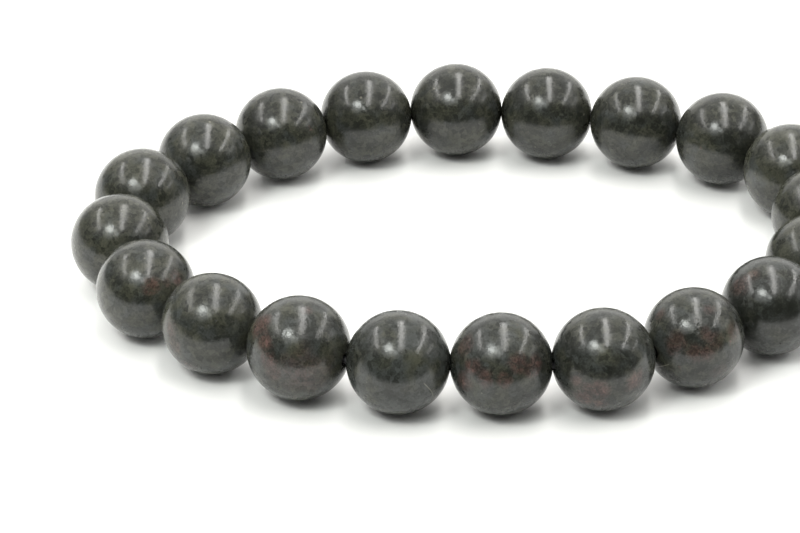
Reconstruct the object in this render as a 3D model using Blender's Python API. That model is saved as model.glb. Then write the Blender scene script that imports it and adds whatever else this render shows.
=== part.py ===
"""Stretch bracelet: round drilled stone beads on one loop of elastic, lying flat as a loose oval.

Metres, +Z up. The origin is on the surface that the beads rest on, under the middle of the oval.
"""
import math

import bmesh
import bpy
from mathutils import Vector

# Beads
BEAD_DIAMETER = 0.0100
BEAD_GAP = 0.00006
BIG_BEADS = {4: 1.02, 5: 1.01, 16: 1.01, 20: 1.01}      # times the usual diameter
HOLE_DIAMETER = 0.0012
MOUTH_DIAMETER = 0.0015
MOUTH_DEPTH = 0.0002
BEAD_SIDES = 20
BEAD_BANDS = 8
HOLE_EDGE_ANGLE = math.radians(35)

# Elastic
CORD_DIAMETER = 0.0007
CORD_BEVEL_STEPS = 2
STRAIGHT_SHARE = 0.90      # of each hole's length; past it the cord turns to the next bead
SETTLING_ROUNDS = 8        # in which the cord turns the beads towards facing holes

# How the string lies, seen from above: the way from each bead to the next, in whole degrees from
# +X towards +Y. Bead 1 is at the left end, and the beads run on along the front.
HEADINGS_DEG = (-72, -46, -31, -17, -3, 2, 23, 35, 57, 80,
                101, 131, 155, 165, 173, 187, 201, 215, 231, 259)

# Stone colours, and how much of each bead is garnet; beads not named have a trace of it
MATRIX_COLOUR = (0.055, 0.062, 0.056)
GARNET_COLOUR = (0.150, 0.040, 0.034)
GARNET_SHARES = {2: 0.35, 4: 0.45, 6: 0.65, 7: 0.50, 8: 0.80, 13: 0.30, 18: 0.30}
TRACE_OF_GARNET = 0.10
STONE_ROUGHNESS = 0.12
CORD_COLOUR = (0.020, 0.020, 0.022)
CORD_ROUGHNESS = 0.45


def clear_scene():
    """Removes whatever objects the open file holds."""
    for obj in list(bpy.data.objects):
        bpy.data.objects.remove(obj, do_unlink=True)


def bead_radii():
    """Radius of each bead, in string order."""
    nominal = BEAD_DIAMETER / 2
    return [nominal * BIG_BEADS.get(number, 1.0) for number in range(1, len(HEADINGS_DEG) + 1)]


def box_middle(places, radii, axis):
    """Middle, along one axis, of the box around round beads."""
    low = min(place[axis] - radius for place, radius in zip(places, radii))
    high = max(place[axis] + radius for place, radius in zip(places, radii))
    return (low + high) / 2


def bead_centres(radii):
    """Centres of the beads around the closed string, each a gap away from touching the next.

    Whole-degree headings leave the loop a hair open, so every step takes an equal share of that.
    The oval is then moved until the box around the beads is centred over the origin.
    """
    steps = []
    for i, heading in enumerate(HEADINGS_DEG):
        angle = math.radians(heading)
        reach = radii[i] + radii[(i + 1) % len(radii)] + BEAD_GAP
        steps.append(Vector((math.cos(angle), math.sin(angle), 0.0)) * reach)
    drift = sum(steps, Vector()) / len(steps)
    places = [Vector()]
    for step in steps[:-1]:
        places.append(places[-1] + step - drift)
    middle = Vector((box_middle(places, radii, 0), box_middle(places, radii, 1), 0.0))
    return [place - middle + Vector((0.0, 0.0, radius)) for place, radius in zip(places, radii)]


def mirrored(direction, line):
    """A direction mirrored in a line."""
    return 2 * direction.dot(line) * line - direction


def hole_directions(centres):
    """Direction of each bead's hole, as taut elastic settles the beads.

    Each hole starts by sharing the string's bend evenly between its two sides. Two facing mouths
    meet where the holes are mirror images in the line between the beads, so each bead then turns
    towards the mirror image of both its neighbours, a little in each round.
    """
    count = len(centres)
    lines = [(centres[(i + 1) % count] - centres[i]) for i in range(count)]
    for line in lines:
        line.z = 0.0
        line.normalize()
    directions = [(lines[i - 1] + lines[i]).normalized() for i in range(count)]
    for _ in range(SETTLING_ROUNDS):
        settled = []
        for i, direction in enumerate(directions):
            before = mirrored(directions[i - 1], lines[i - 1])
            after = mirrored(directions[(i + 1) % count], lines[i])
            settled.append((2 * direction + before + after).normalized())
        directions = settled
    return directions


def bead_profile(radius):
    """Half-section of a drilled bead as (along the hole, out from it), once round the solid part."""
    hole = HOLE_DIAMETER / 2
    mouth = MOUTH_DIAMETER / 2
    start = math.asin(mouth / radius)
    sweep = math.pi - 2 * start
    outside = []
    for k in range(BEAD_BANDS + 1):
        angle = start + sweep * k / BEAD_BANDS
        outside.append((radius * math.cos(angle), radius * math.sin(angle)))
    inner_end = outside[0][0] - MOUTH_DEPTH
    return outside + [(-inner_end, hole), (inner_end, hole)]


def bead_mesh(name, radius):
    """A round bead turned about its hole, which runs along X, with one facet corner straight down."""
    bm = bmesh.new()
    rings = []
    for along, out in bead_profile(radius):
        ring = []
        for k in range(BEAD_SIDES):
            turn = 2 * math.pi * k / BEAD_SIDES
            ring.append(bm.verts.new((along, out * math.sin(turn), -out * math.cos(turn))))
        rings.append(ring)
    for i, ring in enumerate(rings):
        beyond = rings[(i + 1) % len(rings)]
        for k in range(BEAD_SIDES):
            following = (k + 1) % BEAD_SIDES
            bm.faces.new((ring[k], ring[following], beyond[following], beyond[k]))
    bmesh.ops.recalc_face_normals(bm, faces=bm.faces)
    mesh = bpy.data.meshes.new(name)
    bm.to_mesh(mesh)
    bm.free()
    mesh.shade_smooth()
    mesh.set_sharp_from_angle(angle=HOLE_EDGE_ANGLE)
    return mesh


def surface_material(name, colour, roughness):
    """A plain Principled finish."""
    material = bpy.data.materials.new(name)
    material.use_nodes = True
    shader = material.node_tree.nodes["Principled BSDF"]
    shader.inputs["Base Color"].default_value = (*colour, 1.0)
    shader.inputs["Roughness"].default_value = roughness
    shader.inputs["Metallic"].default_value = 0.0
    return material


def stone_material(name, number):
    """Polished stone whose colour lies between matrix and garnet by the bead's share of garnet."""
    share = GARNET_SHARES.get(number, TRACE_OF_GARNET)
    colour = [m + (g - m) * share for m, g in zip(MATRIX_COLOUR, GARNET_COLOUR)]
    return surface_material(name, colour, STONE_ROUGHNESS)


def add_bead(number, centre, along, radius):
    """One drilled bead on the surface, its hole in line with the string."""
    name = f"bead_{number:02d}"
    bead = bpy.data.objects.new(name, bead_mesh(name, radius))
    bead.location = centre
    bead.rotation_euler.z = math.atan2(along.y, along.x)
    bead.data.materials.append(stone_material(f"{name}_stone", number))
    bpy.context.collection.objects.link(bead)


def add_cord(centres, directions, radii):
    """The elastic: straight through each hole, and on from near its mouth to the next bead's."""
    route = []
    for centre, along, radius in zip(centres, directions, radii):
        straight = along * radius * STRAIGHT_SHARE
        route += [centre - straight, centre, centre + straight]
    curve = bpy.data.curves.new("elastic_cord", "CURVE")
    curve.dimensions = "3D"
    curve.twist_mode = "Z_UP"
    curve.fill_mode = "FULL"
    curve.bevel_depth = CORD_DIAMETER / 2
    curve.bevel_resolution = CORD_BEVEL_STEPS
    spline = curve.splines.new("POLY")
    spline.points.add(len(route) - 1)
    for point, place in zip(spline.points, route):
        point.co = (*place, 1.0)
    spline.use_cyclic_u = True
    cord = bpy.data.objects.new("elastic_cord", curve)
    curve.materials.append(surface_material("elastic", CORD_COLOUR, CORD_ROUGHNESS))
    bpy.context.collection.objects.link(cord)


def main():
    clear_scene()
    radii = bead_radii()
    centres = bead_centres(radii)
    directions = hole_directions(centres)
    for i, (centre, along, radius) in enumerate(zip(centres, directions, radii)):
        add_bead(i + 1, centre, along, radius)
    add_cord(centres, directions, radii)


main()
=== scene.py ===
"""Looks of a stretch bracelet: twenty round drilled stone beads, garnet in dark matrix, on elastic.

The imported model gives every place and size. Lengths are in metres and +Z is up. Bead 1 is at the
left end of the oval as the camera sees it, and the beads run on from it along the front.
"""
import logging
import math
import random
from dataclasses import dataclass, field
from enum import Enum
from functools import reduce
from typing import Callable

import bpy
from mathutils import Matrix, Vector


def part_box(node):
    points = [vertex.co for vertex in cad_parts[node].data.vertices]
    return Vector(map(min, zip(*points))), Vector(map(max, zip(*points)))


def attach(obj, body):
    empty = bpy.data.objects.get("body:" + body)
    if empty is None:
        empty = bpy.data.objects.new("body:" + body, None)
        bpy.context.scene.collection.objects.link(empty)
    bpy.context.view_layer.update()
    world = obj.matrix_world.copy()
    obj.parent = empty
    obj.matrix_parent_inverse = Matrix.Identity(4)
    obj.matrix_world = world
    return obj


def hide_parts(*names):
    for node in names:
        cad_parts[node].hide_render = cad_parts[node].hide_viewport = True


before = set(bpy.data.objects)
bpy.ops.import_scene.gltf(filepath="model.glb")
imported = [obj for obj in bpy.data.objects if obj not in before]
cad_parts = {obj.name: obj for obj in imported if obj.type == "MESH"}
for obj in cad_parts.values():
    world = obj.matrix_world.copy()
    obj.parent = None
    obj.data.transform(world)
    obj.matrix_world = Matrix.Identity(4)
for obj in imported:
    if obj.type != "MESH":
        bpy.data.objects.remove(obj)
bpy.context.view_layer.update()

MM = 0.001
ROOT = "root"
BEAD_NAMES = sorted(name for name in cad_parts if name.startswith("bead_"))
CORD_NAME = "elastic_cord"

log = logging.getLogger("bracelet")

Colour = tuple[float, float, float]
Way = tuple[float, float, float]
Pair = tuple[float, float]      # X and Y, or the two ends of a range

UP = Vector((0.0, 0.0, 1.0))
DOWN = Vector((0.0, 0.0, -1.0))
FRONT = Vector((0.0, -1.0, 0.0))
SAME_POINT = 1e-14              # squared distance within which two points are one


class Grain(Enum):
    """Sizes of the mineral grains that the stone's pattern is made of, across, in metres."""

    CLOUD = 3.2 * MM
    CRYSTAL = 1.5 * MM
    GRAIN = 0.48 * MM
    SPECK = 0.20 * MM

    @property
    def scale(self) -> float:
        """Texture scale that gives features of this size."""
        return 1.0 / self.value


class Signal:
    """A shader socket. Arithmetic on it adds Math nodes to the tree that it belongs to."""

    def __init__(self, tree: "Tree", socket: bpy.types.NodeSocket) -> None:
        """Wraps an output socket of a tree."""
        self.tree = tree
        self.socket = socket

    def other(self, name: str) -> "Signal":
        """Another output of the same node, by name."""
        return Signal(self.tree, self.socket.node.outputs[name])

    def _math(self, operation: str, first: "Signal | float", second: "Signal | float") -> "Signal":
        """One Math node on two values."""
        return self.tree.node("ShaderNodeMath", {"operation": operation}, {0: first, 1: second})

    def __add__(self, value: "Signal | float") -> "Signal":
        """self + value."""
        return self._math("ADD", self, value)

    def __radd__(self, value: float) -> "Signal":
        """value + self."""
        return self._math("ADD", value, self)

    def __sub__(self, value: "Signal | float") -> "Signal":
        """self - value."""
        return self._math("SUBTRACT", self, value)

    def __rsub__(self, value: float) -> "Signal":
        """value - self."""
        return self._math("SUBTRACT", value, self)

    def __mul__(self, value: "Signal | float") -> "Signal":
        """self * value."""
        return self._math("MULTIPLY", self, value)

    def __rmul__(self, value: float) -> "Signal":
        """value * self."""
        return self._math("MULTIPLY", value, self)

    def __abs__(self) -> "Signal":
        """Size of the value without its sign."""
        return self._math("ABSOLUTE", self, 0.0)

    def at_least(self, value: "Signal | float") -> "Signal":
        """The larger of the two."""
        return self._math("MAXIMUM", self, value)

    def rise(self, low: float, high: float) -> "Signal":
        """Smooth step from 0 at low to 1 at high, or down from 1 where low is above high."""
        return self.tree.node(
            "ShaderNodeMapRange",
            {"interpolation_type": "SMOOTHSTEP"},
            {"Value": self, "From Min": low, "From Max": high, "To Min": 0.0, "To Max": 1.0},
        )


class Tree:
    """The node tree of one new material with a Principled shader."""

    def __init__(self, name: str) -> None:
        """Makes the material.

        Args:
            name: The material's name.
        """
        self.material = bpy.data.materials.new(name)
        self.material.use_nodes = True
        self.nodes = self.material.node_tree.nodes
        self.links = self.material.node_tree.links
        self.shader = self.nodes["Principled BSDF"]

    def node(self, kind: str, settings: dict, inputs: dict, output: int | str = 0) -> Signal:
        """Adds a node.

        Args:
            kind: Blender's name for the type of node.
            settings: The node's own settings, which are set first.
            inputs: Values or signals by the socket's name or number.
            output: Name or number of the output that is wanted.

        Returns:
            That output.
        """
        node = self.nodes.new(kind)
        for name, value in settings.items():
            setattr(node, name, value)
        for key, value in inputs.items():
            self.feed(node.inputs[key], value)
        return Signal(self, node.outputs[output])

    def feed(self, socket: bpy.types.NodeSocket, value: Signal | float | tuple) -> None:
        """Links a signal to an input socket, or sets the socket to a plain value.

        Args:
            socket: The input.
            value: A signal, a number, or a vector or colour.
        """
        if isinstance(value, Signal):
            self.links.new(value.socket, socket)
        else:
            socket.default_value = value

    def colours(
        self, share: Signal | float, first: Signal | Colour, second: Signal | Colour
    ) -> Signal:
        """Mixes two colours.

        Args:
            share: 0 for the first colour, 1 for the second.
            first: A colour.
            second: A colour.

        Returns:
            The mixed colour.
        """
        sides = [(*side, 1.0) if isinstance(side, tuple) else side for side in (first, second)]
        return self.node(
            "ShaderNodeMix", {"data_type": "RGBA"}, {0: share, 6: sides[0], 7: sides[1]}, 2
        )

    def vector(self, operation: str, inputs: dict, output: str = "Vector") -> Signal:
        """One Vector Math node."""
        return self.node("ShaderNodeVectorMath", {"operation": operation}, inputs, output)

    def noise(self, place: Signal, scale: float, detail: float = 2.0) -> Signal:
        """Soft noise over a place, about 0 to 1."""
        inputs = {"Vector": place, "Scale": scale, "Detail": detail, "Roughness": 0.55}
        return self.node("ShaderNodeTexNoise", {}, inputs)

    def cells(self, place: Signal, scale: float, feature: str = "F1") -> Signal:
        """Grains of a Voronoi pattern: the distance output, with the colour as another output."""
        inputs = {"Vector": place, "Scale": scale}
        return self.node("ShaderNodeTexVoronoi", {"feature": feature}, inputs, "Distance")

    def channel(self, colour: Signal, name: str) -> Signal:
        """One channel of a colour."""
        return self.node("ShaderNodeSeparateColor", {}, {"Color": colour}, name)


@dataclass(frozen=True)
class Spot:
    """Something at a place on a bead, as the camera sees the bead.

    Attributes:
        across: Place to the right of the bead's middle, in bead radii.
        up: Place above the bead's middle, in bead radii.
        size: Its radius, in bead radii.
        strength: How marked it is, from 0 to 1.
    """

    across: float
    up: float
    size: float
    strength: float = 1.0


@dataclass(frozen=True)
class BeadLook:
    """What sets one bead's stone apart.

    Attributes:
        garnet: How far garnet spreads over the bead by itself, from 0 to 1.
        olive: How olive the matrix is, from 0 for blue-grey to 1.
        fullness: Size against the CAD bead, from its outline in the photo. Neighbours' worn ends
            then touch, as strung beads do.
        shade: How far the matrix is darker than usual, up to about 0.1.
        wear: How uneven the grain has left the polish, against the usual.
        patches: Garnet seen in the photo.
        pits: Small pits and chips seen in the photo, pressed into the bead and painted darker as
            painted shade.
        flecks_and_glints: Small pale spots seen in the photo: pale grains, and painted glints at
            pits and chips.
        lines: Thin pale lines, each as its two ends.
        cracks_with_painted_shade: Thin lines painted dark, each as its two ends: a fine crack with
            painted shade in it.
    """

    garnet: float = 0.10
    olive: float = 0.85
    fullness: float = 1.012
    shade: float = 0.0
    wear: float = 1.0
    patches: tuple[Spot, ...] = ()
    pits: tuple[Spot, ...] = ()
    flecks_and_glints: tuple[Spot, ...] = ()
    lines: tuple[tuple[Spot, Spot], ...] = ()
    cracks_with_painted_shade: tuple[tuple[Spot, Spot], ...] = ()


LOOKS = {
    "bead_01": BeadLook(garnet=0.10, olive=1.0, fullness=1.020),
    "bead_02": BeadLook(
        garnet=0.12, olive=0.7, fullness=1.010,
        patches=(Spot(0.12, 0.06, 0.20), Spot(0.64, 0.18, 0.17, 0.8), Spot(0.42, 0.10, 0.12, 0.5)),
        pits=(Spot(-0.24, 0.26, 0.032, 0.3),),
    ),
    "bead_03": BeadLook(
        garnet=0.15, olive=0.7, fullness=1.020, shade=0.0, wear=1.6,
        patches=(
            Spot(-0.82, -0.04, 0.20, 0.7), Spot(-0.74, -0.39, 0.22, 0.5),
            Spot(-0.54, -0.78, 0.22, 0.5),
        ),
        pits=(Spot(-0.22, -0.06, 0.05), Spot(-0.08, -0.02, 0.04), Spot(0.06, 0.08, 0.04)),
        flecks_and_glints=(
            Spot(-0.20, -0.03, 0.030), Spot(-0.24, 0.03, 0.020), Spot(0.05, 0.08, 0.018),
            Spot(0.53, -0.10, 0.018), Spot(-0.13, -0.04, 0.015), Spot(-0.03, -0.07, 0.020),
        ),
        cracks_with_painted_shade=(
            (Spot(-0.05, -0.30, 0.020), Spot(0.12, -0.35, 0.020)),
            (Spot(0.16, -0.33, 0.025), Spot(0.27, -0.27, 0.025)),
        ),
    ),
    "bead_04": BeadLook(
        garnet=0.25, olive=0.5, fullness=1.025, shade=0.0, wear=1.5,
        patches=(
            Spot(-0.71, 0.48, 0.28), Spot(-0.63, 0.14, 0.22), Spot(-0.58, -0.20, 0.20, 0.9),
            Spot(-0.47, -0.44, 0.18, 0.7), Spot(0.10, -0.49, 0.55, 0.45),
            Spot(0.17, 0.70, 0.12, 0.6),
        ),
        pits=(Spot(-0.25, 0.30, 0.028, 0.8),),
    ),
    "bead_05": BeadLook(
        garnet=0.02, olive=0.2, fullness=1.022,
        flecks_and_glints=(Spot(-0.60, -0.35, 0.030), Spot(-0.14, -0.45, 0.028), Spot(-0.14, -0.80, 0.016)),
        lines=(
            (Spot(0.47, -0.38, 0.012), Spot(0.62, -0.54, 0.012)),
            (Spot(0.61, -0.52, 0.010), Spot(0.66, -0.68, 0.010)),
        ),
    ),
    "bead_06": BeadLook(
        garnet=0.30, olive=0.5, fullness=1.015, shade=0.02, wear=1.2,
        patches=(
            Spot(-0.70, 0.35, 0.22, 0.6), Spot(-0.55, -0.05, 0.20, 0.9),
            Spot(-0.71, -0.35, 0.22, 0.9), Spot(-0.30, -0.27, 0.20, 0.8),
            Spot(0.06, -0.29, 0.18, 0.8), Spot(0.30, -0.01, 0.20, 0.8), Spot(0.38, 0.14, 0.14, 0.5),
            Spot(0.58, -0.13, 0.20, 0.7), Spot(0.66, 0.06, 0.16, 0.7),
        ),
    ),
    "bead_07": BeadLook(
        garnet=0.15, olive=0.4, fullness=1.025, shade=0.04,
        patches=(
            Spot(-0.03, -0.55, 0.22), Spot(-0.26, -0.57, 0.18, 0.8), Spot(-0.34, -0.75, 0.24),
            Spot(0.61, -0.37, 0.22), Spot(-0.50, -0.41, 0.15, 0.7), Spot(-0.07, -0.83, 0.20, 0.7),
        ),
    ),
    "bead_08": BeadLook(
        garnet=0.30, olive=0.5, fullness=1.005, shade=0.04, wear=1.4,
        patches=(
            Spot(-0.31, -0.10, 0.24, 0.6), Spot(-0.38, -0.23, 0.18, 0.5),
            Spot(0.05, -0.30, 0.20, 0.7), Spot(0.28, -0.32, 0.18, 0.7),
            Spot(0.41, -0.05, 0.22, 0.5), Spot(0.25, 0.08, 0.16, 0.5), Spot(0.77, 0.13, 0.20, 0.5),
            Spot(-0.67, 0.44, 0.16, 0.5), Spot(0.28, 0.56, 0.13, 0.5), Spot(0.55, -0.64, 0.20, 0.4),
        ),
        pits=(Spot(0.04, 0.36, 0.04), Spot(0.10, 0.24, 0.045), Spot(0.06, 0.12, 0.04)),
        flecks_and_glints=(Spot(0.04, 0.35, 0.020), Spot(0.10, 0.22, 0.016), Spot(0.00, 0.30, 0.012)),
        lines=((Spot(-0.72, -0.60, 0.012), Spot(-0.46, -0.54, 0.012)),),
    ),
    "bead_09": BeadLook(
        garnet=0.15, olive=0.1, fullness=1.005, shade=0.08,
        patches=(Spot(-0.60, 0.40, 0.25, 0.6), Spot(-0.35, 0.62, 0.16, 0.5)),
    ),
    "bead_13": BeadLook(garnet=0.35, shade=0.04),
    "bead_14": BeadLook(shade=0.03),
    "bead_15": BeadLook(shade=0.04),
    "bead_16": BeadLook(shade=0.03),
    "bead_17": BeadLook(shade=0.04),
    "bead_18": BeadLook(garnet=0.35, shade=0.05),
}


def look_of(name: str) -> BeadLook:
    """The look of a bead, which is the usual one where the photo shows nothing of its own."""
    return LOOKS.get(name, BeadLook())


@dataclass(frozen=True)
class Sight:
    """The directions that lie across, up and towards the camera at one bead.

    Attributes:
        centre: The bead's centre.
        radius: Its radius.
        eye: Where the camera is.
    """

    centre: Vector
    radius: float
    eye: Vector

    def direction(self, spot: Spot) -> Vector:
        """Direction from the bead's centre to a spot on its surface.

        Args:
            spot: The spot.

        Returns:
            A unit vector.
        """
        towards = (self.eye - self.centre).normalized()
        across = UP.cross(towards).normalized()
        up = towards.cross(across)
        depth = math.sqrt(max(0.0, 1.0 - spot.across**2 - spot.up**2))
        return (across * spot.across + up * spot.up + towards * depth).normalized()

    def place(self, spot: Spot) -> Vector:
        """The spot's place on the bead's surface."""
        return self.centre + self.direction(spot) * self.radius


@dataclass(frozen=True)
class RockPattern:
    """The light and dark of one bead's stone, without colour.

    Attributes:
        tree: The material's tree.
        place: Object coordinates.
        even: The same, moved and turned to the bead's own part of the endless pattern.
        swirled: Those, bent as the layers of the rock are.
        clouds: Broad lighter and darker places.
        crystals: The same at the size of a crystal.
        grain: One level for each mineral grain.
        specks: The finest of the pattern.
    """

    tree: Tree
    place: Signal
    even: Signal
    swirled: Signal
    clouds: Signal
    crystals: Signal
    grain: Signal
    specks: Signal


@dataclass(frozen=True)
class PolishedStone:
    """Garnet in dark mica and hornblende matrix, tumbled and polished.

    Attributes:
        look: What sets this bead apart.
        sight: Where the bead is, and from where its spots are placed.
        offset: Place in the endless pattern that this bead is cut from.
        turn: How the pattern is turned.
        matrix_dark: Colour of the darkest matrix grains.
        matrix_olive: Colour of the palest grains where the matrix is olive.
        matrix_grey: Colour of the palest grains where it is blue-grey.
        garnet_deep: Colour of thick, dark garnet.
        garnet_bright: Colour of thin or weathered garnet.
        fleck_and_glint_colour: Colour of rare feldspar grains, of the pale lines, and of the
            painted glints at pits and chips.
        swirl_size: Size of the swirls that bend the rock's layers.
        swirl: How far they bend them.
        fleck_spacing: Distance between the places where chance may put a fleck.
        smear_size: Size of the places where the polish is softer.
        relief: Depth of what the grain leaves in the polish.
        polish_ior: Refractive index of the polish.
        sheen_ior: Refractive index of the soft sheen on it.
        sheen_roughness: Spread of that sheen, which fine scratches give.
    """

    look: BeadLook
    sight: Sight
    offset: Vector
    turn: Vector
    matrix_dark: Colour = (0.0120, 0.0130, 0.0105)
    matrix_olive: Colour = (0.0550, 0.0560, 0.0395)
    matrix_grey: Colour = (0.0450, 0.0495, 0.0465)
    garnet_deep: Colour = (0.0380, 0.0200, 0.0170)
    garnet_bright: Colour = (0.1250, 0.0700, 0.0590)
    fleck_and_glint_colour: Colour = (0.21, 0.20, 0.16)
    swirl_size: float = 0.9 * MM
    swirl: float = 0.7 * MM
    fleck_spacing: float = 1.1 * MM
    smear_size: float = 1.9 * MM
    relief: float = 0.018 * MM
    polish_ior: float = 1.46
    sheen_ior: float = 1.5
    sheen_roughness: float = 0.30

    def pattern(self, tree: Tree) -> RockPattern:
        """Lays out the bead's part of the rock.

        Args:
            tree: The material's tree.

        Returns:
            The pattern.
        """
        place = tree.node("ShaderNodeTexCoord", {}, {}, "Object")
        even = tree.node(
            "ShaderNodeMapping",
            {"vector_type": "TEXTURE"},
            {"Vector": place, "Location": self.sight.centre - self.offset, "Rotation": self.turn},
        )
        wobble = tree.noise(even, 1.0 / self.swirl_size).other("Color")
        swirled = tree.vector("MULTIPLY_ADD", {0: wobble, 1: (self.swirl,) * 3, 2: even})
        grains = tree.cells(swirled, Grain.GRAIN.scale)
        return RockPattern(
            tree=tree,
            place=place,
            even=even,
            swirled=swirled,
            clouds=tree.noise(even, Grain.CLOUD.scale, 3.0),
            crystals=tree.noise(swirled, Grain.CRYSTAL.scale, 3.0),
            grain=tree.channel(grains.other("Color"), "Red"),
            specks=tree.noise(even, Grain.SPECK.scale),
        )

    def patch(self, rock: RockPattern, spot: Spot) -> Signal:
        """Mask of one garnet patch, soft and ragged at its edge.

        Args:
            rock: The bead's pattern.
            spot: The patch.

        Returns:
            The mask, up to the spot's strength.
        """
        middle = self.sight.place(spot)
        apart = rock.tree.vector("DISTANCE", {0: rock.place, 1: middle}, "Value")
        reach = spot.size * self.sight.radius
        ragged = apart * (1.0 / reach) + (rock.crystals - 0.5) * 1.8
        return ragged.rise(1.30, 0.35) * spot.strength

    def dot(self, rock: RockPattern, spot: Spot, core: float) -> Signal:
        """Mask of a small round spot.

        Args:
            rock: The bead's pattern.
            spot: The spot.
            core: Share of its radius within which the mask is whole.

        Returns:
            The mask.
        """
        middle = self.sight.place(spot)
        apart = rock.tree.vector("DISTANCE", {0: rock.place, 1: middle}, "Value")
        reach = spot.size * self.sight.radius
        return apart.rise(reach, reach * core)

    def line(self, rock: RockPattern, ends: tuple[Spot, Spot]) -> Signal:
        """Mask of a thin line between two spots: a narrow slab cut through the bead there.

        Args:
            rock: The bead's pattern.
            ends: The line's two ends. The first one's size is half the line's width.

        Returns:
            The mask.
        """
        first, second = (self.sight.place(end) for end in ends)
        middle = (first + second) / 2
        across = (second - first).cross(middle - self.sight.centre).normalized()
        offset = rock.tree.vector("SUBTRACT", {0: rock.place, 1: middle})
        aside = rock.tree.vector("DOT_PRODUCT", {0: offset, 1: across}, "Value")
        width = ends[0].size * self.sight.radius
        reach = (second - first).length / 2
        apart = rock.tree.vector("LENGTH", {0: offset}, "Value")
        return abs(aside).rise(width, width * 0.4) * apart.rise(reach * 1.1, reach * 0.8)

    def matrix(self, rock: RockPattern) -> Signal:
        """Colour of the matrix, from dark to olive or blue-grey.

        Args:
            rock: The bead's pattern.

        Returns:
            The colour.
        """
        hue = rock.tree.noise(rock.swirled, Grain.CRYSTAL.scale * 0.8, 1.0)
        turning = 0.62 - 0.24 * self.look.olive
        olive = hue.rise(turning - 0.16, turning + 0.16)
        pale = rock.tree.colours(olive, self.matrix_grey, self.matrix_olive)
        tone = rock.clouds * 0.46 + rock.grain * 0.14 + rock.specks * 0.40
        shade = self.look.shade
        return rock.tree.colours(tone.rise(0.31 + shade, 0.70 + shade), self.matrix_dark, pale)

    def with_garnet(self, rock: RockPattern, matrix: Signal) -> Signal:
        """Adds the garnet, which spreads by itself and in the patches seen in the photo.

        Args:
            rock: The bead's pattern.
            matrix: Colour of the matrix.

        Returns:
            The colour with the garnet in it.
        """
        start, end = (level - 0.32 * self.look.garnet for level in (0.74, 0.80))
        spread = (rock.crystals * 0.6 + rock.clouds * 0.4).rise(start, end)
        for spot in self.look.patches:
            spread = spread.at_least(self.patch(rock, spot))
        edges = rock.tree.cells(rock.swirled, Grain.CRYSTAL.scale * 1.3, "DISTANCE_TO_EDGE")
        broken = spread * (0.35 + 0.65 * edges.rise(0.01, 0.07)) * (0.40 + 0.60 * rock.grain)
        reds = (rock.specks * 0.45 + rock.crystals * 0.55).rise(0.36, 0.66)
        garnet = rock.tree.colours(reds, self.garnet_deep, self.garnet_bright)
        return rock.tree.colours(broken, matrix, garnet)

    def flecks_and_glints(self, rock: RockPattern) -> Signal:
        """Mask of the pale spots and lines: rare feldspar grains by chance, and those seen in the
        photo, of which the spots at pits and chips are painted glints.

        Args:
            rock: The bead's pattern.

        Returns:
            The mask.
        """
        rare = rock.tree.cells(rock.even, 1.0 / self.fleck_spacing)
        chance = rock.tree.channel(rare.other("Color"), "Green")
        flecks_and_glints = chance.rise(0.95, 0.97) * rare.rise(0.16, 0.09) * 0.6
        for spot in self.look.flecks_and_glints:
            flecks_and_glints = flecks_and_glints.at_least(self.dot(rock, spot, 0.5))
        for ends in self.look.lines:
            flecks_and_glints = flecks_and_glints.at_least(self.line(rock, ends) * 0.7)
        return flecks_and_glints * 0.8

    def pits(self, rock: RockPattern) -> Signal | float:
        """Mask of the pits and fine crack lines seen in the photo, where the colour is painted
        darker as painted shade.

        Args:
            rock: The bead's pattern.

        Returns:
            The mask, or 0 for a bead that has none.
        """
        masks = [self.dot(rock, spot, 0.4) for spot in self.look.pits]
        masks += [self.line(rock, ends) for ends in self.look.cracks_with_painted_shade]
        return reduce(Signal.at_least, masks) if masks else 0.0

    def build(self, name: str) -> bpy.types.Material:
        """Makes the material.

        Args:
            name: The material's name.

        Returns:
            The material.
        """
        tree = Tree(name)
        rock = self.pattern(tree)
        pits = self.pits(rock)
        stone = self.with_garnet(rock, self.matrix(rock))
        # Pale spots: real grains and pale lines, and painted glints at the pits and chips.
        stone = tree.colours(self.flecks_and_glints(rock), stone, self.fleck_and_glint_colour)
        # Painted shade: the pits and crack lines are painted darker, towards the darkest matrix
        # colour.
        stone = tree.colours(pits * 0.6, stone, self.matrix_dark)

        smears = tree.noise(rock.even, 1.0 / self.smear_size, 3.0)
        roughness = 0.11 + 0.06 * smears.rise(0.40, 0.70) + 0.11 * rock.grain + 0.22 * pits
        sheen = 0.03 + 0.16 * smears.rise(0.35, 0.65) + 0.17 * rock.grain
        height = rock.specks * 0.55 + rock.crystals * 0.9
        bump = {"Strength": 1.0, "Distance": self.look.wear * self.relief, "Height": height}

        sockets = tree.shader.inputs
        tree.feed(sockets["Base Color"], stone)
        tree.feed(sockets["Roughness"], roughness)
        tree.feed(sockets["Normal"], tree.node("ShaderNodeBump", {}, bump))
        tree.feed(sockets["IOR"], self.polish_ior)
        tree.feed(sockets["Coat Weight"], sheen)
        tree.feed(sockets["Coat Roughness"], self.sheen_roughness)
        tree.feed(sockets["Coat IOR"], self.sheen_ior)
        return tree.material


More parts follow.
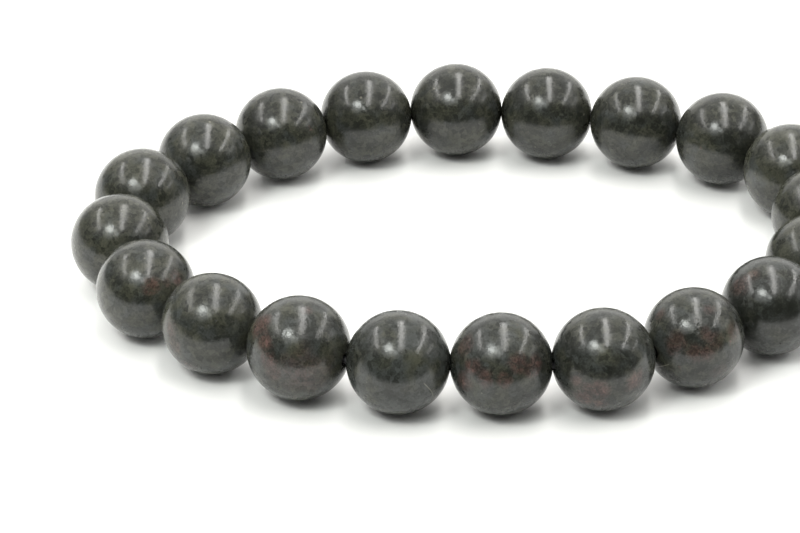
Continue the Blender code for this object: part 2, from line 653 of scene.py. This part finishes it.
@dataclass(frozen=True)
class ElasticFinish:
    """Dark elastic covered in fine wound fibre.

    Attributes:
        thread: Colour of the fibres.
        shade: Colour between them, darker as painted shade in the gaps.
        thread_width: Width of a fibre.
        fuzz_size: Size of the looser places.
        relief: Depth between the fibres.
    """

    thread: Colour = (0.018, 0.018, 0.020)
    shade: Colour = (0.006, 0.006, 0.007)
    thread_width: float = 0.09 * MM
    fuzz_size: float = 0.4 * MM
    relief: float = 0.03 * MM

    def build(self, name: str) -> bpy.types.Material:
        """Makes the material.

        Args:
            name: The material's name.

        Returns:
            The material.
        """
        tree = Tree(name)
        place = tree.node("ShaderNodeTexCoord", {}, {}, "Object")
        fibres = tree.cells(place, 1.0 / self.thread_width)
        fuzz = tree.noise(place, 1.0 / self.fuzz_size, 3.0)
        # Painted shade: the gaps between the fibres are coloured darker than the fibres.
        wound = fibres.rise(0.7, 0.2) * 0.7 + fuzz * 0.3
        tree.feed(tree.shader.inputs["Base Color"], tree.colours(wound, self.shade, self.thread))
        tree.feed(tree.shader.inputs["Roughness"], 0.42 + 0.2 * fuzz)
        bump = {"Strength": 0.8, "Distance": self.relief, "Height": wound}
        tree.feed(tree.shader.inputs["Normal"], tree.node("ShaderNodeBump", {}, bump))
        return tree.material


def leave_all() -> None:
    """Leaves edit mode and selects nothing."""
    if bpy.context.object and bpy.context.object.mode != "OBJECT":
        bpy.ops.object.mode_set(mode="OBJECT")
    bpy.ops.object.select_all(action="DESELECT")


def take(obj: bpy.types.Object) -> None:
    """Makes one object the only selected one.

    Args:
        obj: The object.
    """
    leave_all()
    bpy.context.view_layer.objects.active = obj
    obj.select_set(True)


def edit(obj: bpy.types.Object, kind: str, test: Callable) -> None:
    """Enters edit mode with the chosen parts of a mesh selected.

    Args:
        obj: The mesh object.
        kind: VERT, EDGE or FACE.
        test: Says for a vertex's, edge's or face's middle whether it is selected.
    """
    take(obj)
    bpy.ops.object.mode_set(mode="EDIT")
    bpy.ops.mesh.select_mode(type=kind)
    bpy.ops.mesh.select_all(action="DESELECT")
    bpy.ops.object.mode_set(mode="OBJECT")
    mesh = obj.data
    if kind == "VERT":
        for vertex in mesh.vertices:
            vertex.select = test(vertex.co)
    elif kind == "EDGE":
        for side in mesh.edges:
            first, second = (mesh.vertices[i].co for i in side.vertices)
            side.select = test((first + second) / 2)
    else:
        for face in mesh.polygons:
            face.select = test(face.center)
    bpy.ops.object.mode_set(mode="EDIT")


def from_axis(point: Vector) -> float:
    """Distance of a point from the X axis."""
    return math.hypot(point.y, point.z)


def mirrored(direction: Vector, line: Vector) -> Vector:
    """A direction mirrored in a line."""
    return 2 * direction.dot(line) * line - direction


def hole_directions(centres: list[Vector], rounds: int = 8) -> list[Vector]:
    """Direction of each bead's hole, as taut elastic settles the beads and as in the CAD model.

    Args:
        centres: The beads' centres in string order.
        rounds: How often each bead turns towards facing its neighbours' holes.

    Returns:
        Level unit vectors.
    """
    count = len(centres)
    lines = [centres[(i + 1) % count] - centres[i] for i in range(count)]
    lines = [Vector((line.x, line.y, 0.0)).normalized() for line in lines]
    holes = [(lines[i - 1] + lines[i]).normalized() for i in range(count)]
    for _ in range(rounds):
        before = [mirrored(holes[i - 1], lines[i - 1]) for i in range(count)]
        after = [mirrored(holes[(i + 1) % count], lines[i]) for i in range(count)]
        holes = [(2 * hole + a + b).normalized() for hole, a, b in zip(holes, before, after)]
    return holes


@dataclass(frozen=True)
class PhotoCamera:
    """The camera that took the photo, fitted to the beads' outlines.

    Attributes:
        place: Where it stands.
        lens: Focal length in millimetres.
        sensor_width: Width of its sensor in millimetres.
        pitch: Degrees that it looks down.
        yaw: Degrees that it looks to the right of +Y.
        roll: Degrees that it leans.
    """

    place: Vector = field(default_factory=lambda: Vector((-11.41, -321.41, 186.91)) * MM)
    lens: float = 158.77
    sensor_width: float = 36.0
    pitch: float = 30.089
    yaw: float = 0.693
    roll: float = -0.835

    def build(self) -> None:
        """Adds the camera and makes it the scene's."""
        leave_all()
        bpy.ops.object.camera_add()
        camera = bpy.context.object
        camera.name = "photo_camera"
        camera.data.sensor_width = self.sensor_width
        camera.data.lens = self.lens
        camera.data.clip_start = 0.01
        camera.matrix_world = (
            Matrix.Translation(self.place)
            @ Matrix.Rotation(math.radians(-self.yaw), 4, "Z")
            @ Matrix.Rotation(math.radians(90.0 - self.pitch), 4, "X")
            @ Matrix.Rotation(math.radians(self.roll), 4, "Z")
        )
        bpy.context.scene.camera = camera


@dataclass
class DrilledBead:
    """The one bead that all beads are copied from, its hole along X.

    Attributes:
        radius: Outer radius.
        mouth_radius: Radius of the hole's countersunk mouth at the surface.
        bore_radius: Radius of the hole.
        mouth_depth: Depth of the countersink.
        sides: Facets around the hole.
        bands: Bands from one end of the hole to the other.
        lip: Width of the rounding at the mouth's edge.
        lip_steps: Facets across that rounding.
    """

    radius: float = 5.0 * MM
    mouth_radius: float = 0.75 * MM
    bore_radius: float = 0.60 * MM
    mouth_depth: float = 0.15 * MM
    sides: int = 192
    bands: int = 128
    lip: float = 0.05 * MM
    lip_steps: int = 3

    def build(self) -> bpy.types.Object:
        """Models the bead.

        Returns:
            The bead, at the origin.
        """
        leave_all()
        bpy.ops.mesh.primitive_uv_sphere_add(
            segments=self.sides, ring_count=self.bands, radius=self.radius,
            rotation=(0.0, math.pi / 2, 0.0),
        )
        bead = bpy.context.object
        bpy.ops.object.transform_apply(location=False, rotation=True, scale=False)
        edit(bead, "FACE", lambda middle: from_axis(middle) < self.mouth_radius)
        bpy.ops.mesh.delete(type="FACE")
        bpy.ops.object.mode_set(mode="OBJECT")
        rim = min(from_axis(vertex.co) for vertex in bead.data.vertices)
        shoulder = math.sqrt(self.radius**2 - rim**2)
        self.drill(bead, rim, shoulder)
        self.soften_mouth(bead, rim, shoulder)
        take(bead)
        bpy.ops.object.shade_smooth()
        return bead

    def drill(self, bead: bpy.types.Object, rim: float, shoulder: float) -> None:
        """Countersinks both mouths and joins them with the bore.

        Args:
            bead: The open sphere.
            rim: Radius of its two open edges.
            shoulder: Distance of those edges from the bead's middle.
        """
        just_past_rim = rim * 1.001
        edit(bead, "EDGE", lambda middle: from_axis(middle) < just_past_rim)
        inward = (shoulder - self.mouth_depth) / shoulder
        narrow = self.bore_radius / rim
        bpy.ops.mesh.extrude_edges_move()
        bpy.ops.transform.resize(value=(inward, narrow, narrow), center_override=(0.0, 0.0, 0.0))
        bpy.ops.mesh.bridge_edge_loops()
        bpy.ops.mesh.select_all(action="SELECT")
        bpy.ops.mesh.normals_make_consistent(inside=False)
        bpy.ops.object.mode_set(mode="OBJECT")

    def soften_mouth(self, bead: bpy.types.Object, rim: float, shoulder: float) -> None:
        """Rounds the edge between the ball and the countersink.

        Args:
            bead: The drilled bead.
            rim: Radius of the mouth's edge.
            shoulder: Distance of that edge from the bead's middle.
        """
        near = 0.02 * MM

        def is_edge(middle: Vector) -> bool:
            """Whether a point is on the edge of a mouth."""
            return abs(from_axis(middle) - rim) < near and abs(abs(middle.x) - shoulder) < near

        edit(bead, "EDGE", is_edge)
        bpy.ops.mesh.bevel(
            offset=self.lip, offset_type="OFFSET", segments=self.lip_steps, affect="EDGES"
        )
        bpy.ops.object.mode_set(mode="OBJECT")


@dataclass
class BeadString:
    """The twenty stone beads.

    Attributes:
        eye: Where the camera is, from which the spots on each bead are placed.
        unevenness: Depth of the low places that tumbling leaves in a ball.
        unevenness_size: Their size.
        seen_pit_depth: Depth of a full-strength pit seen in the photo.
        pit_count: Most small pits that chance gives a bead.
        pit_reach: Range of their radius in millimetres.
        pit_depth: Range of their depth in millimetres.
        pattern_reach: How far off, each way, a bead is cut from the endless pattern.
        seed: Seed of all that is left to chance.
    """

    eye: Vector
    unevenness: float = 0.05 * MM
    unevenness_size: float = 5.5 * MM
    seen_pit_depth: float = 0.05 * MM
    pit_count: int = 5
    pit_reach: Pair = (0.12, 0.30)
    pit_depth: Pair = (0.010, 0.035)
    pattern_reach: float = 0.4
    seed: int = 20

    def build(self) -> None:
        """Models one bead and strings twenty copies of it."""
        master = DrilledBead()
        pattern = master.build()
        chance = random.Random(self.seed)
        centres = [self.centre(name) for name in BEAD_NAMES]
        holes = hole_directions(centres)
        for i, name in enumerate(BEAD_NAMES):
            heading = math.atan2(holes[i].y, holes[i].x)
            radius = self.radius(name)
            fullness = look_of(name).fullness
            bead = self.copy(pattern, name)
            bead.scale = Vector((1.0, 1.0, 1.0)) * fullness * radius / master.radius
            bead.rotation_euler = (chance.uniform(0.0, 2 * math.pi), 0.0, heading)
            bead.location = centres[i] + Vector((0.0, 0.0, (fullness - 1.0) * radius))
            bpy.ops.object.transform_apply(location=True, rotation=True, scale=True)
            self.tumble(bead)
            self.press_pits(bead, name, chance)
            self.dress(bead, name, chance)
            log.info("%s: %d faces", bead.name, len(bead.data.polygons))
        bpy.data.objects.remove(pattern, do_unlink=True)

    @staticmethod
    def centre(name: str) -> Vector:
        """Centre of a CAD bead."""
        low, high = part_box(name)
        return (low + high) / 2

    @staticmethod
    def radius(name: str) -> float:
        """Radius of a CAD bead, from its height."""
        low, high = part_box(name)
        return (high.z - low.z) / 2

    def sight(self, name: str) -> Sight:
        """How the camera sees a bead."""
        return Sight(self.centre(name), self.radius(name), self.eye)

    @staticmethod
    def copy(pattern: bpy.types.Object, name: str) -> bpy.types.Object:
        """A copy of the bead with its own mesh, selected.

        Args:
            pattern: The bead to copy.
            name: The copy's node.

        Returns:
            The copy.
        """
        take(pattern)
        bpy.ops.object.duplicate(linked=False)
        bead = bpy.context.object
        bead.name = f"{name}_stone"
        bead.data.name = bead.name
        return bead

    def tumble(self, bead: bpy.types.Object) -> None:
        """Gives a ball the slight low places of a hand-turned and tumbled bead.

        Args:
            bead: The bead, selected.
        """
        texture = bpy.data.textures.new(f"{bead.name}_tumbling", "CLOUDS")
        texture.noise_scale = self.unevenness_size
        texture.noise_depth = 1
        wear = bead.modifiers.new("tumbling", "DISPLACE")
        wear.texture = texture
        wear.texture_coords = "LOCAL"
        wear.mid_level = 0.6
        wear.strength = self.unevenness
        bpy.ops.object.modifier_apply(modifier=wear.name)

    def press_pits(self, bead: bpy.types.Object, name: str, chance: random.Random) -> None:
        """Presses the pits into a bead: those in the photo, and a few by chance.

        Args:
            bead: The bead.
            name: Its node.
            chance: Source of the random places.
        """
        sight = self.sight(name)
        pits = []
        for spot in look_of(name).pits:
            depth = self.seen_pit_depth * spot.strength
            pits.append((sight.direction(spot), spot.size * sight.radius, depth))
        for _ in range(chance.randint(1, self.pit_count)):
            way = Vector([chance.gauss(0.0, 1.0) for _ in range(3)]).normalized()
            reach = chance.uniform(*self.pit_reach) * MM
            pits.append((way, reach, chance.uniform(*self.pit_depth) * MM))
        for way, reach, depth in pits:
            middle = sight.centre + way * sight.radius
            corners = bead.data.vertices
            nearest = min(corners, key=lambda corner: (corner.co - middle).length_squared)
            spot = nearest.co.copy()
            edit(bead, "VERT", lambda point: (point - spot).length_squared < SAME_POINT)
            bpy.ops.transform.translate(
                value=-way * depth,
                use_proportional_edit=True,
                proportional_edit_falloff="SMOOTH",
                proportional_size=reach,
            )
            bpy.ops.object.mode_set(mode="OBJECT")

    def dress(self, bead: bpy.types.Object, name: str, chance: random.Random) -> None:
        """Gives a bead its stone, puts it in the root body and hides the CAD bead that it stands
        for.

        Args:
            bead: The bead.
            name: Its node.
            chance: Source of the pattern's place and turn.
        """
        far = self.pattern_reach
        finish = PolishedStone(
            look=look_of(name),
            sight=self.sight(name),
            offset=Vector([chance.uniform(-far, far) for _ in range(3)]),
            turn=Vector([chance.uniform(0.0, 2 * math.pi) for _ in range(3)]),
        )
        bead.data.materials.clear()
        bead.data.materials.append(finish.build(f"{name}_polished_stone"))
        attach(bead, ROOT)
        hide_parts(name)


@dataclass
class ElasticLoop:
    """The closed loop of elastic through all the beads.

    Attributes:
        radius: Half the elastic's thickness.
        straight: Share of each hole over which the elastic is straight, as in the CAD model.
        bevel_steps: Steps of its roundness, in Blender's count.
    """

    radius: float = 0.35 * MM
    straight: float = 0.90
    bevel_steps: int = 4

    def route(self) -> list[Vector]:
        """Points that the elastic runs through, three in each bead.

        Returns:
            The points, in order round the loop.
        """
        centres = [BeadString.centre(name) for name in BEAD_NAMES]
        points = []
        for name, centre, hole in zip(BEAD_NAMES, centres, hole_directions(centres)):
            half = hole * BeadString.radius(name) * self.straight
            points += [centre - half, centre, centre + half]
        return points

    def build(self) -> None:
        """Models the elastic and dresses it."""
        leave_all()
        bpy.ops.curve.primitive_bezier_circle_add()
        loop = bpy.context.object
        loop.name = "elastic_loop"
        curve = loop.data
        curve.splines.remove(curve.splines[0])
        spline = curve.splines.new("POLY")
        points = self.route()
        spline.points.add(len(points) - 1)
        for point, place in zip(spline.points, points):
            point.co = (*place, 1.0)
        spline.use_cyclic_u = True
        curve.twist_mode = "Z_UP"
        curve.fill_mode = "FULL"
        curve.bevel_depth = self.radius
        curve.bevel_resolution = self.bevel_steps
        take(loop)
        bpy.ops.object.convert(target="MESH")
        bpy.ops.object.shade_smooth()
        loop.data.materials.clear()
        loop.data.materials.append(ElasticFinish().build("wound_elastic"))
        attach(loop, ROOT)
        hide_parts(CORD_NAME)
        log.info("%s: %d faces", loop.name, len(loop.data.polygons))


@dataclass(frozen=True)
class Lamp:
    """A flat light with an even face.

    Attributes:
        name: The light's name.
        place: Its middle.
        faces: Direction from its face towards what it lights.
        along: Direction of its length.
        width: Its size across that.
        length: Its size along that.
        radiance: Brightness of its face.
        colour: Colour of its light.
        oval: Whether it is an ellipse.
        mirrored: Whether it shows in reflections.
    """

    name: str
    place: Vector
    faces: Vector
    along: Vector
    width: float
    length: float
    radiance: float
    colour: Colour = (1.0, 0.99, 0.96)
    oval: bool = False
    mirrored: bool = True

    def build(self) -> None:
        """Adds the light, which the camera does not see."""
        leave_all()
        bpy.ops.object.light_add(type="AREA")
        lamp = bpy.context.object
        lamp.name = self.name
        back = -self.faces.normalized()
        across = self.along.cross(back).normalized()
        turn = Matrix((across, back.cross(across), back)).transposed().to_4x4()
        lamp.matrix_world = Matrix.Translation(self.place) @ turn
        lamp.data.shape = "ELLIPSE" if self.oval else "RECTANGLE"
        lamp.data.size, lamp.data.size_y = self.width, self.length
        face = self.width * self.length * (math.pi / 4 if self.oval else 1.0)
        lamp.data.energy = self.radiance * face * math.pi
        lamp.data.color = self.colour
        lamp.visible_camera = False
        lamp.visible_glossy = self.mirrored


@dataclass(frozen=True)
class LongLamp:
    """One of the long lamps that hang over the bracelet.

    Attributes:
        near: X and Y of its near end.
        far: X and Y of its far end.
        width: Its width.
        radiance: Brightness of its face.
    """

    near: Pair
    far: Pair
    width: float
    radiance: float

    def lamp(self, name: str, height: float) -> Lamp:
        """The lamp, facing down.

        Args:
            name: The light's name.
            height: Height that it hangs at.

        Returns:
            The lamp.
        """
        near, far = Vector((*self.near, height)), Vector((*self.far, height))
        along = far - near
        return Lamp(name, (near + far) / 2, DOWN, along, self.width, along.length, self.radiance)


@dataclass(frozen=True)
class LampOval:
    """One oval of light of the small lamp at the front left.

    Attributes:
        name: The light's name.
        towards: Direction to it from the bracelet.
        width: Its width.
        length: Its length.
        radiance: Brightness of its face.
    """

    name: str
    towards: Way
    width: float
    length: float
    radiance: float


@dataclass(frozen=True)
class Card:
    """A black card that thins out towards its top.

    Attributes:
        name: The card's name.
        x: Its extent along X.
        y: Its extent along Y.
        z: Its extent along Z.
        solid_to: Height from which it thins out.
        cover: How much it hides below that.
        is_flag: Whether it only shades. Any other card only shows in reflections.
        black: Its colour.
    """

    name: str
    x: Pair
    y: Pair
    z: Pair
    solid_to: float = 0.5
    cover: float = 1.0
    is_flag: bool = False
    black: Colour = (0.012, 0.012, 0.012)

    def build(self) -> None:
        """Adds the card, which the camera does not see."""
        leave_all()
        bpy.ops.mesh.primitive_plane_add(size=1.0)
        card = bpy.context.object
        card.name = self.name
        upright = self.x[0] == self.x[1]
        for vertex, (first, second) in zip(card.data.vertices, ((0, 0), (1, 0), (0, 1), (1, 1))):
            vertex.co = (self.x[first], self.y[first if upright else second], self.z[second])
        tree = Tree(f"{self.name}_black_card")
        tree.feed(tree.shader.inputs["Base Color"], (*self.black, 1.0))
        tree.feed(tree.shader.inputs["Roughness"], 0.9)
        place = tree.node("ShaderNodeTexCoord", {}, {}, "Object")
        height = tree.node("ShaderNodeSeparateXYZ", {}, {"Vector": place}, "Z")
        top = max(self.z[1], self.solid_to + MM)
        tree.feed(tree.shader.inputs["Alpha"], height.rise(top, self.solid_to) * self.cover)
        card.data.materials.append(tree.material)
        card.visible_camera = False
        card.visible_transmission = False
        card.visible_diffuse = self.is_flag
        card.visible_shadow = self.is_flag
        card.visible_glossy = not self.is_flag


@dataclass
class Studio:
    """White floor, light from all round, long lamps overhead, and a dark room in front and beside.

    Attributes:
        floor_side: Length of a side of the floor.
        floor_whites: The two whites of its paper.
        fibre_size: Size of the paper's fibres.
        sky: Strength of the light from all round.
        sky_colour: Colour of that light.
        lamp_height: Height of the long lamps.
        long_lamps: The long lamps, from left to right.
        small_lamp: What the small lamp at the front left is made of.
        small_lamp_distance: Distance of that lamp.
        small_lamp_slant: Direction of its length.
        small_lamp_colour: Colour of its light.
        key_towards: Direction to the key light.
        cards: The black cards in front and at both sides.
    """

    floor_side: float = 6.0
    floor_whites: tuple[Colour, Colour] = ((0.83, 0.835, 0.83), (0.85, 0.85, 0.845))
    fibre_size: float = 1.5 * MM
    sky: float = 0.92
    sky_colour: Colour = (1.0, 0.995, 0.97)
    lamp_height: float = 0.60
    long_lamps: tuple[LongLamp, ...] = (
        LongLamp((-0.59, -0.22), (-0.48, 0.58), width=0.065, radiance=11.0),
        LongLamp((0.07, -0.38), (0.07, 0.54), width=0.090, radiance=8.8),
        LongLamp((0.57, -0.40), (0.76, 0.92), width=0.060, radiance=12.8),
        LongLamp((1.32, -0.28), (1.45, 0.42), width=0.090, radiance=8.0),
    )
    small_lamp: tuple[LampOval, ...] = (
        LampOval("small_lamp", (-0.35, -0.42, 0.84), width=0.19, length=0.25, radiance=15.5),
        LampOval("small_lamp_arm", (-0.10, -0.62, 0.78), width=0.08, length=0.20, radiance=8.0),
        LampOval("small_lamp_glow", (-0.36, -0.55, 0.75), width=0.36, length=0.44, radiance=2.0),
    )
    small_lamp_distance: float = 0.8
    small_lamp_slant: Way = (0.29, -0.34, -0.12)
    small_lamp_colour: Colour = (0.96, 1.0, 0.96)
    key_towards: Way = (-0.52, -0.36, 0.78)
    cards: tuple[Card, ...] = (
        Card("front_table", (-2.0, 2.0), (-2.0, -0.052), (0.0006, 0.0006)),
        Card("front_wall", (-2.0, 2.0), (-0.60, -0.60), (0.0, 1.35), solid_to=0.42),
        Card("left_wall", (-1.1, -1.1), (-0.60, 1.28), (0.0, 0.90), solid_to=0.42, cover=0.78),
        Card("right_wall", (1.6, 1.6), (-0.60, 1.90), (0.0, 0.90), solid_to=0.42, cover=0.78),
        Card("front_flag", (-2.0, 2.0), (-0.61, -0.61), (0.0, 1.35), solid_to=0.95, cover=0.9,
             is_flag=True),
    )

    def build(self) -> None:
        """Sets up the floor, lights and cards."""
        bpy.context.scene.view_settings.view_transform = "Standard"
        self.lay_floor()
        self.light_room()
        for lamp in self.lamps():
            lamp.build()
        for card in self.cards:
            card.build()

    def lamps(self) -> list[Lamp]:
        """The long lamps, the lights behind, the small lamp at the front left and the key light.

        Returns:
            The lamps.
        """
        lamps = []
        for number, row in enumerate(self.long_lamps, 1):
            lamps.append(row.lamp(f"long_lamp_{number}", self.lamp_height))
        lamps += [
            Lamp("back_softbox", Vector((0.20, 1.30, 0.42)), FRONT, UP,
                 width=1.7, length=0.46, radiance=0.40),
            Lamp("back_glow", Vector((0.20, 1.32, 1.10)), FRONT, UP,
                 width=1.9, length=1.80, radiance=0.20),
            Lamp("back_fill", Vector((-0.3, 1.20, 0.90)), Vector((0.2, -0.8, -0.6)), UP,
                 width=1.5, length=1.0, radiance=2.5, mirrored=False),
        ]
        for part in self.small_lamp:
            towards = Vector(part.towards).normalized()
            lamps.append(
                Lamp(part.name, towards * self.small_lamp_distance, -towards,
                     Vector(self.small_lamp_slant), part.width, part.length, part.radiance,
                     colour=self.small_lamp_colour, oval=True)
            )
        key = Vector(self.key_towards).normalized()
        lamps.append(
            Lamp("key_softbox", key, -key, Vector((0.0, 1.0, 0.5)),
                 width=0.22, length=0.22, radiance=5.0, mirrored=False)
        )
        return lamps

    def lay_floor(self) -> None:
        """Lays the white floor under the beads."""
        leave_all()
        bpy.ops.mesh.primitive_plane_add(size=self.floor_side)
        floor = bpy.context.object
        floor.name = "white_floor"
        tree = Tree("white_paper")
        place = tree.node("ShaderNodeTexCoord", {}, {}, "Object")
        fibres = tree.noise(place, 1.0 / self.fibre_size, 4.0)
        tree.feed(tree.shader.inputs["Base Color"], tree.colours(fibres, *self.floor_whites))
        tree.feed(tree.shader.inputs["Roughness"], 0.9)
        tree.feed(tree.shader.inputs["Specular IOR Level"], 0.2)
        floor.data.materials.append(tree.material)

    def light_room(self) -> None:
        """Lights the room evenly from all round."""
        world = bpy.data.worlds.new("soft_room")
        world.use_nodes = True
        background = world.node_tree.nodes["Background"]
        background.inputs["Color"].default_value = (*self.sky_colour, 1.0)
        background.inputs["Strength"].default_value = self.sky
        bpy.context.scene.world = world


def main() -> None:
    """Builds the camera, the bracelet and the studio in order."""
    logging.basicConfig(level=logging.INFO, format="%(name)s: %(message)s")
    camera = PhotoCamera()
    camera.build()
    BeadString(eye=camera.place).build()
    ElasticLoop().build()
    Studio().build()


if __name__ == "__main__":
    main()
